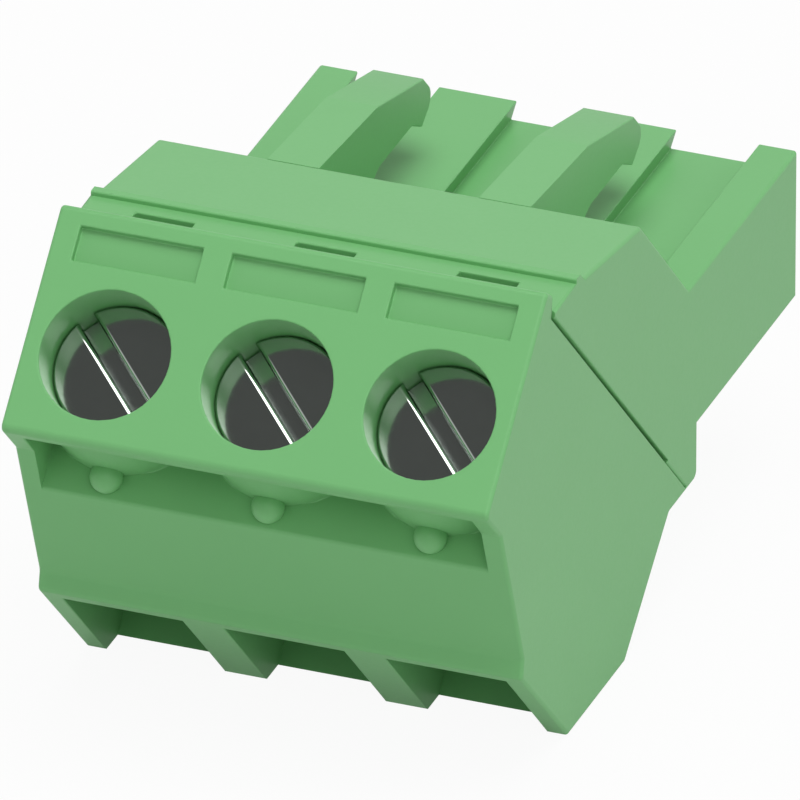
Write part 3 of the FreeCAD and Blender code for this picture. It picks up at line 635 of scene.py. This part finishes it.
class ShapeTree:
    """A Geometry Nodes tree in the making, with short ways to place its nodes."""

    def __init__(self, name):
        self.tree = bpy.data.node_groups.new(name, "GeometryNodeTree")
        self.tree.is_modifier = True
        self.tree.interface.new_socket(
            name="Geometry", in_out="OUTPUT", socket_type="NodeSocketGeometry"
        )
        self.entry = None

    def inputs(self, kinds):
        """Makes the tree's named inputs, from a dictionary of names to kinds."""
        for name, kind in kinds.items():
            self.tree.interface.new_socket(name=name, in_out="INPUT", socket_type=kind)
        self.entry = self.tree.nodes.new("NodeGroupInput")

    def size(self, name):
        """What the tree's input of this name gives."""
        return self.entry.outputs[name]

    def put(self, kind, feeds=(), **values):
        """Adds a node; feeds gives (input, value or output socket) pairs."""
        made = self.tree.nodes.new(kind)
        for key, value in values.items():
            setattr(made, key, value)
        for key, value in feeds:
            self.feed(made.inputs[key], value)
        return made

    def feed(self, socket, value):
        """Sets an input, or joins an output socket to it."""
        if isinstance(value, bpy.types.NodeSocket):
            self.tree.links.new(value, socket)
        else:
            socket.default_value = value

    def reckoned(self, operation, *terms):
        """What a Math node makes of values and output sockets."""
        return self.put("ShaderNodeMath", enumerate(terms), operation=operation).outputs[0]

    def plus(self, first, second):
        return self.reckoned("ADD", first, second)

    def minus(self, first, second):
        return self.reckoned("SUBTRACT", first, second)

    def times(self, first, second):
        return self.reckoned("MULTIPLY", first, second)

    def over(self, first, second):
        return self.reckoned("DIVIDE", first, second)

    def vector(self, x=0.0, y=0.0, z=0.0):
        return self.put("ShaderNodeCombineXYZ", enumerate((x, y, z))).outputs[0]

    def moved(self, geometry, place=(0.0, 0.0, 0.0), turn=(0.0, 0.0, 0.0)):
        """Geometry that is turned about the origin and then shifted."""
        feeds = (("Geometry", geometry), ("Translation", place), ("Rotation", turn))
        return self.put("GeometryNodeTransform", feeds).outputs[0]

    def joined(self, *parts):
        """Parts in one geometry, in the order given."""
        made = self.tree.nodes.new("GeometryNodeJoinGeometry")
        for part in reversed(parts):
            self.tree.links.new(part, made.inputs[0])
        return made.outputs[0]

    def cut(self, body, *tools):
        """A body less the tools."""
        made = self.put("GeometryNodeMeshBoolean", operation="DIFFERENCE", solver="EXACT")
        self.tree.links.new(body, made.inputs["Mesh 1"])
        for tool in tools:
            self.tree.links.new(tool, made.inputs["Mesh 2"])
        return made.outputs["Mesh"]

    def box(self, wide, long, tall, middle):
        """A block whose middle is at the given place."""
        size = self.vector(wide, long, tall)
        cube = self.put("GeometryNodeMeshCube", (("Size", size),)).outputs["Mesh"]
        return self.moved(cube, middle)

    def drum(self, radius, tall, bottom, sides):
        """An upright closed drum that stands at the given height, and its top as a selection."""
        made = self.put(
            "GeometryNodeMeshCylinder", (("Vertices", sides), ("Radius", radius), ("Depth", tall))
        )
        lift = self.plus(bottom, self.times(tall, 0.5))
        return self.moved(made.outputs["Mesh"], self.vector(z=lift)), made.outputs["Top"]

    def tapered(self, mesh, face, rise, share):
        """Draws a face out by a length and shrinks it, which makes a chamfer or a point."""
        made = self.put(
            "GeometryNodeExtrudeMesh",
            (("Mesh", mesh), ("Selection", face), ("Offset Scale", rise)),
        )
        shrunk = self.put(
            "GeometryNodeScaleElements",
            (
                ("Geometry", made.outputs["Mesh"]), ("Selection", made.outputs["Top"]),
                ("Scale", share),
            ),
        )
        return shrunk.outputs[0]

    def finish(self, geometry):
        """Ends the tree in real geometry that carries the material."""
        real = self.put("GeometryNodeRealizeInstances", (("Geometry", geometry),)).outputs[0]
        coated = self.put(
            "GeometryNodeSetMaterial", (("Geometry", real), ("Material", self.size("Material")))
        )
        end = self.tree.nodes.new("NodeGroupOutput")
        self.tree.links.new(coated.outputs[0], end.inputs[0])
        return self.tree


def screw_head(shape, top, under):
    """The head between two heights, with a chamfer and a slot whose upper edges are rounded."""
    size, plus, minus, times = shape.size, shape.plus, shape.minus, shape.times
    radius, chamfer = size("Head radius"), size("Head chamfer")
    drum, crown = shape.drum(radius, minus(size("Head height"), chamfer), under, HEAD_SIDES)
    head = shape.tapered(drum, crown, chamfer, shape.over(minus(radius, chamfer), radius))

    rounding, wide, deep = size("Slot rounding"), size("Slot width"), size("Slot depth")
    reach = times(radius, SLOT_LONG)
    slot_tall = plus(deep, rounding)
    slot_middle = plus(minus(top, deep), times(slot_tall, 0.5))
    slot = shape.box(wide, reach, slot_tall, shape.vector(z=slot_middle))

    flare_wide = plus(wide, times(rounding, 2.0))
    flare = shape.box(flare_wide, reach, times(rounding, 2.0), shape.vector(z=top))
    rod = shape.put(
        "GeometryNodeMeshCylinder",
        (("Vertices", SHANK_SIDES), ("Radius", rounding), ("Depth", times(radius, ROD_LONG))),
    ).outputs["Mesh"]
    beside, level = times(flare_wide, 0.5), minus(top, rounding)
    rods = [
        shape.moved(rod, shape.vector(x, 0.0, level), (math.radians(90.0), 0.0, 0.0))
        for x in (beside, minus(0.0, beside))
    ]
    turn = shape.vector(z=size("Slot turn"))
    tools = [shape.moved(tool, turn=turn) for tool in (slot, shape.cut(flare, *rods))]
    return shape.cut(head, *tools)


def screw_stem(shape, under):
    """The shank with its blunt point, and the thread that winds up round it."""
    size, plus, minus, times = shape.size, shape.plus, shape.minus, shape.times
    core, crest, pitch = size("Core radius"), size("Crest radius"), size("Thread pitch")
    tip = plus(minus(0.0, size("Shank end")), size("Shank point"))
    length = plus(minus(under, tip), BURIED)
    drum, foot = shape.drum(core, length, 0.0, SHANK_SIDES)
    shank = shape.tapered(drum, foot, size("Shank point"), POINT_SHARE)
    shank = shape.moved(
        shank, shape.vector(z=plus(under, BURIED)), (math.radians(180.0), 0.0, 0.0)
    )

    run = minus(length, plus(pitch, BURIED))
    ridge = times(minus(crest, core), RIDGE_SHARE)
    middle = minus(crest, ridge)
    helix = shape.put(
        "GeometryNodeCurveSpiral",
        (
            ("Resolution", THREAD_STEPS), ("Rotations", shape.over(run, pitch)),
            ("Start Radius", middle), ("End Radius", middle), ("Height", run),
        ),
    ).outputs[0]
    upright = shape.put("GeometryNodeSetCurveNormal", (("Curve", helix),), mode="Z_UP")
    outline = shape.put(
        "GeometryNodeCurvePrimitiveCircle", (("Resolution", RIDGE_SIDES), ("Radius", ridge))
    )
    thread = shape.put(
        "GeometryNodeCurveToMesh",
        (
            ("Curve", upright.outputs[0]), ("Profile Curve", outline.outputs[0]),
            ("Fill Caps", True),
        ),
    ).outputs[0]
    return shank, shape.moved(thread, shape.vector(z=tip))


def screw_tree():
    """A slotted screw with a rolled thread, which leans at the place that its inputs give."""
    shape = ShapeTree("clamp_screw_shape")
    sizes = {label: "NodeSocketFloat" for label in SCREW_INPUTS.values()}
    shape.inputs({
        **sizes, "Lean": "NodeSocketFloat", "Place": "NodeSocketVector",
        "Material": "NodeSocketMaterial",
    })
    top = shape.minus(0.0, shape.size("Head top"))
    under = shape.minus(top, shape.size("Head height"))
    screw = shape.joined(screw_head(shape, top, under), *screw_stem(shape, under))
    leaning = shape.moved(screw, shape.size("Place"), shape.vector(x=shape.size("Lean")))
    return shape.finish(leaning)


def grown(name, tree, values):
    """Runs a tree with the given inputs and returns its result as an object with a plain mesh."""
    seed = shown(name + "_seed", bpy.data.meshes.new(name + "_seed"))
    modifier = seed.modifiers.new("shape", "NODES")
    modifier.node_group = tree
    for item in tree.interface.items_tree:
        if item.in_out == "INPUT":
            modifier[item.identifier] = values[item.name]
    bpy.context.view_layer.update()
    settled = seed.evaluated_get(bpy.context.evaluated_depsgraph_get())
    mesh = bpy.data.meshes.new_from_object(settled)
    bpy.data.objects.remove(seed)
    mesh.name = name
    return shown(name, mesh)


def screw_place(low, high, shape):
    """Where a screw's axis meets the screw face, from the box of the plain screw."""
    inset = (shape.head_radius - shape.head_chamfer - shape.head_top) * SLANT
    return (low.x + high.x) / 2, low.y + inset, high.z - inset


class PLUGBLOCK_OT_screws(bpy.types.Operator):
    """Build and finish the threaded clamping screws"""

    bl_idname = "plugblock.screws"
    bl_label = "Screws"

    def execute(self, context):
        finish = context.scene.plugblock_plated
        shape = context.scene.plugblock_screw
        tree = screw_tree()
        values = {label: getattr(shape, key) for key, label in SCREW_INPUTS.items()}
        values["Lean"] = LEAN
        # The screws' colour carries a painted green reflection of the moulding.
        values["Material"] = metal_material(
            "plated_screw_green_reflection", finish, finish.screw_colour, finish.screw_roughness, finish.turning
        )
        for number in POSITIONS:
            low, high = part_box("clamp_screw_%d" % number)
            values["Place"] = screw_place(low, high, shape)
            piece = grown("threaded_screw_%d" % number, tree, values)
            smoothed(piece, SCREW_SMOOTH)
            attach(piece, "screw_%d" % number)
            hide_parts("clamp_screw_%d" % number)
        return {"FINISHED"}


class PLUGBLOCK_OT_sleeves(bpy.types.Operator):
    """Finish the clamping sleeves"""

    bl_idname = "plugblock.sleeves"
    bl_label = "Clamping sleeves"

    def execute(self, context):
        finish = context.scene.plugblock_plated
        material = strip_material("plated_strip", finish, finish.sleeve_colour)
        for number in POSITIONS:
            dress("clamp_sleeve_%d" % number, material)
        return {"FINISHED"}


class PLUGBLOCK_OT_contacts(bpy.types.Operator):
    """Finish the current bars and contact springs"""

    bl_idname = "plugblock.contacts"
    bl_label = "Bars and springs"

    def execute(self, context):
        finish = context.scene.plugblock_plated
        bar = strip_material("tinned_bar", finish, finish.bar_colour)
        spring = strip_material("tinned_spring", finish, finish.spring_colour)
        for number in POSITIONS:
            dress("contact_bar_%d" % number, bar)
            dress("contact_spring_%d" % number, spring)
        return {"FINISHED"}


def view_axes(studio):
    """The camera's right, up and backward directions."""
    turn, rise = studio.azimuth, studio.elevation
    level = math.cos(rise)
    back = Vector((math.sin(turn) * level, -math.cos(turn) * level, math.sin(rise)))
    right = Vector((math.cos(turn), math.sin(turn), 0.0))
    up = back.cross(right)
    roll = Matrix.Rotation(studio.roll, 3, back)
    return roll @ right, roll @ up, back


def add_camera(studio):
    """The photograph's view: from far off, above and a little to the right."""
    right, up, back = view_axes(studio)
    data = bpy.data.cameras.new("studio_camera")
    camera = shown("studio_camera", data)
    place = face_top() + right * studio.aim_right + up * studio.aim_up + back * studio.distance
    turned = Matrix((right, up, back)).transposed().to_4x4()
    camera.matrix_world = Matrix.Translation(place) @ turned
    data.sensor_width = SENSOR
    data.lens = SENSOR * studio.distance / studio.view_width
    data.clip_start, data.clip_end = CLIP
    bpy.context.scene.camera = camera


def floor_material(studio):
    """A pale floor with a faint glow; the camera, and reflections a little, see it whiter."""
    material, tree, shader, output = blank_material("pale_floor")
    place = node(tree, "ShaderNodeTexCoord").outputs["Object"]
    clouds = noise(tree, place, studio.floor_clouds, detail=2.0)
    lighter = tuple(min(1.0, channel * studio.floor_tint) for channel in studio.floor_colour)
    link(tree, blended(tree, clouds, studio.floor_colour, lighter), shader.inputs["Base Color"])
    shader.inputs["Roughness"].default_value = studio.floor_roughness
    shader.inputs["Specular IOR Level"].default_value = studio.floor_gloss
    shader.inputs["Emission Color"].default_value = WHITE
    shader.inputs["Emission Strength"].default_value = studio.floor_glow
    white = node(tree, "ShaderNodeEmission", Color=WHITE, Strength=1.0)
    path = node(tree, "ShaderNodeLightPath")
    seen = node(tree, "ShaderNodeMath", operation="MAXIMUM")
    link(tree, path.outputs["Is Camera Ray"], seen.inputs[0])
    mirrored = product(tree, path.outputs["Is Glossy Ray"], studio.floor_mirrored)
    link(tree, mirrored, seen.inputs[1])
    share = product(tree, seen.outputs[0], studio.floor_white)
    link(tree, mixed(tree, share, shader, white), output.inputs["Surface"])
    return material


def add_floor(studio):
    """A wide floor just below the object."""
    half = studio.floor_half
    low = CAD_BOX[0].z - studio.floor_gap
    mesh = bpy.data.meshes.new("floor")
    corners = [(-half, -half, low), (half, -half, low), (half, half, low), (-half, half, low)]
    mesh.from_pydata(corners, [], [(0, 1, 2, 3)])
    mesh.materials.append(floor_material(studio))
    floor = shown("floor", mesh)


def add_sky(studio):
    """A room with bright walls, dim above and dimmer in front; the camera sees it white."""
    world = bpy.data.worlds.new("studio_sky")
    bpy.context.scene.world = world
    world.use_nodes = True
    tree = world.node_tree
    tree.nodes.clear()
    parts = node(tree, "ShaderNodeSeparateXYZ")
    link(tree, node(tree, "ShaderNodeTexCoord").outputs["Generated"], parts.inputs[0])

    rise = node(tree, "ShaderNodeValToRGB")
    rise.color_ramp.interpolation = "EASE"
    lights = (studio.sky_low, studio.sky_walls, studio.sky_high)
    marks = rise.color_ramp.elements
    while len(marks) < len(lights):
        marks.new(0.5)
    for mark, height, light in zip(marks, (0.0, studio.walls_at, studio.high_at), lights):
        mark.position = height
        mark.color = (light, light, light, 1.0)
    link(tree, parts.outputs["Z"], rise.inputs["Fac"])

    side = node(tree, "ShaderNodeMapRange", interpolation_type="SMOOTHSTEP")
    side.inputs["From Min"].default_value, side.inputs["From Max"].default_value = DIMMED
    side.inputs["To Min"].default_value = studio.sky_front
    side.inputs["To Max"].default_value = 1.0
    link(tree, parts.outputs["Y"], side.inputs["Value"])

    lit = node(tree, "ShaderNodeBackground", Color=WHITE)
    light = product(tree, rise.outputs["Color"], side.outputs["Result"])
    link(tree, light, lit.inputs["Strength"])
    plain = node(tree, "ShaderNodeBackground", Color=WHITE, Strength=1.0)
    path = node(tree, "ShaderNodeLightPath")
    output = node(tree, "ShaderNodeOutputWorld")
    seen = mixed(tree, path.outputs["Is Camera Ray"], lit, plain)
    link(tree, seen, output.inputs["Surface"])


def add_softbox(name, place, size, power):
    """A round lamp that shines at the object from the given place."""
    data = bpy.data.lights.new(name, "AREA")
    data.shape = "DISK"
    data.size = size
    data.energy = power
    place = Vector(place)
    aim = (CAD_BOX[0] + CAD_BOX[1]) / 2
    turned = (aim - place).to_track_quat("-Z", "Y").to_matrix().to_4x4()
    shown(name, data).matrix_world = Matrix.Translation(place) @ turned


class PLUGBLOCK_OT_studio(bpy.types.Operator):
    """Set up the camera, the floor and the light"""

    bl_idname = "plugblock.studio"
    bl_label = "Studio"

    def execute(self, context):
        studio = context.scene.plugblock_studio
        add_camera(studio)
        add_floor(studio)
        add_sky(studio)
        add_softbox(
            "overhead_softbox", studio.overhead_place, studio.overhead_size, studio.overhead
        )
        add_softbox("front_softbox", studio.front_place, studio.front_size, studio.front)
        add_softbox("side_softbox", studio.side_place, studio.side_size, studio.side)
        context.scene.view_settings.view_transform = "Standard"
        return {"FINISHED"}


class PLUGBLOCK_PT_panel(bpy.types.Panel):
    """Lists the steps and their settings"""

    bl_idname = "PLUGBLOCK_PT_panel"
    bl_label = "Terminal Block"
    bl_space_type = "VIEW_3D"
    bl_region_type = "UI"
    bl_category = "Terminal Block"

    def draw(self, context):
        layout = self.layout
        for group, steps in STEPS.items():
            box = layout.box()
            settings = getattr(context.scene, group)
            for key in settings.__annotations__:
                box.prop(settings, key)
            for step in steps:
                box.operator(step.bl_idname)


SETTINGS = {
    "plugblock_moulded": MouldedFinish,
    "plugblock_screw": ScrewShape,
    "plugblock_plated": PlatedFinish,
    "plugblock_studio": StudioSetup,
}
STEPS = {
    "plugblock_moulded": (PLUGBLOCK_OT_housings,),
    "plugblock_screw": (PLUGBLOCK_OT_screws,),
    "plugblock_plated": (PLUGBLOCK_OT_sleeves, PLUGBLOCK_OT_contacts),
    "plugblock_studio": (PLUGBLOCK_OT_studio,),
}
OPERATORS = [step for steps in STEPS.values() for step in steps]


def register():
    for kind in (*SETTINGS.values(), *OPERATORS, PLUGBLOCK_PT_panel):
        bpy.utils.register_class(kind)
    for name, kind in SETTINGS.items():
        setattr(bpy.types.Scene, name, PointerProperty(type=kind))


def unregister():
    for name in SETTINGS:
        delattr(bpy.types.Scene, name)
    for kind in reversed((*SETTINGS.values(), *OPERATORS, PLUGBLOCK_PT_panel)):
        bpy.utils.unregister_class(kind)


def main():
    register()
    bpy.ops.plugblock.housings()
    bpy.ops.plugblock.screws()
    bpy.ops.plugblock.sleeves()
    bpy.ops.plugblock.contacts()
    bpy.ops.plugblock.studio()


if __name__ == "__main__":
    main()
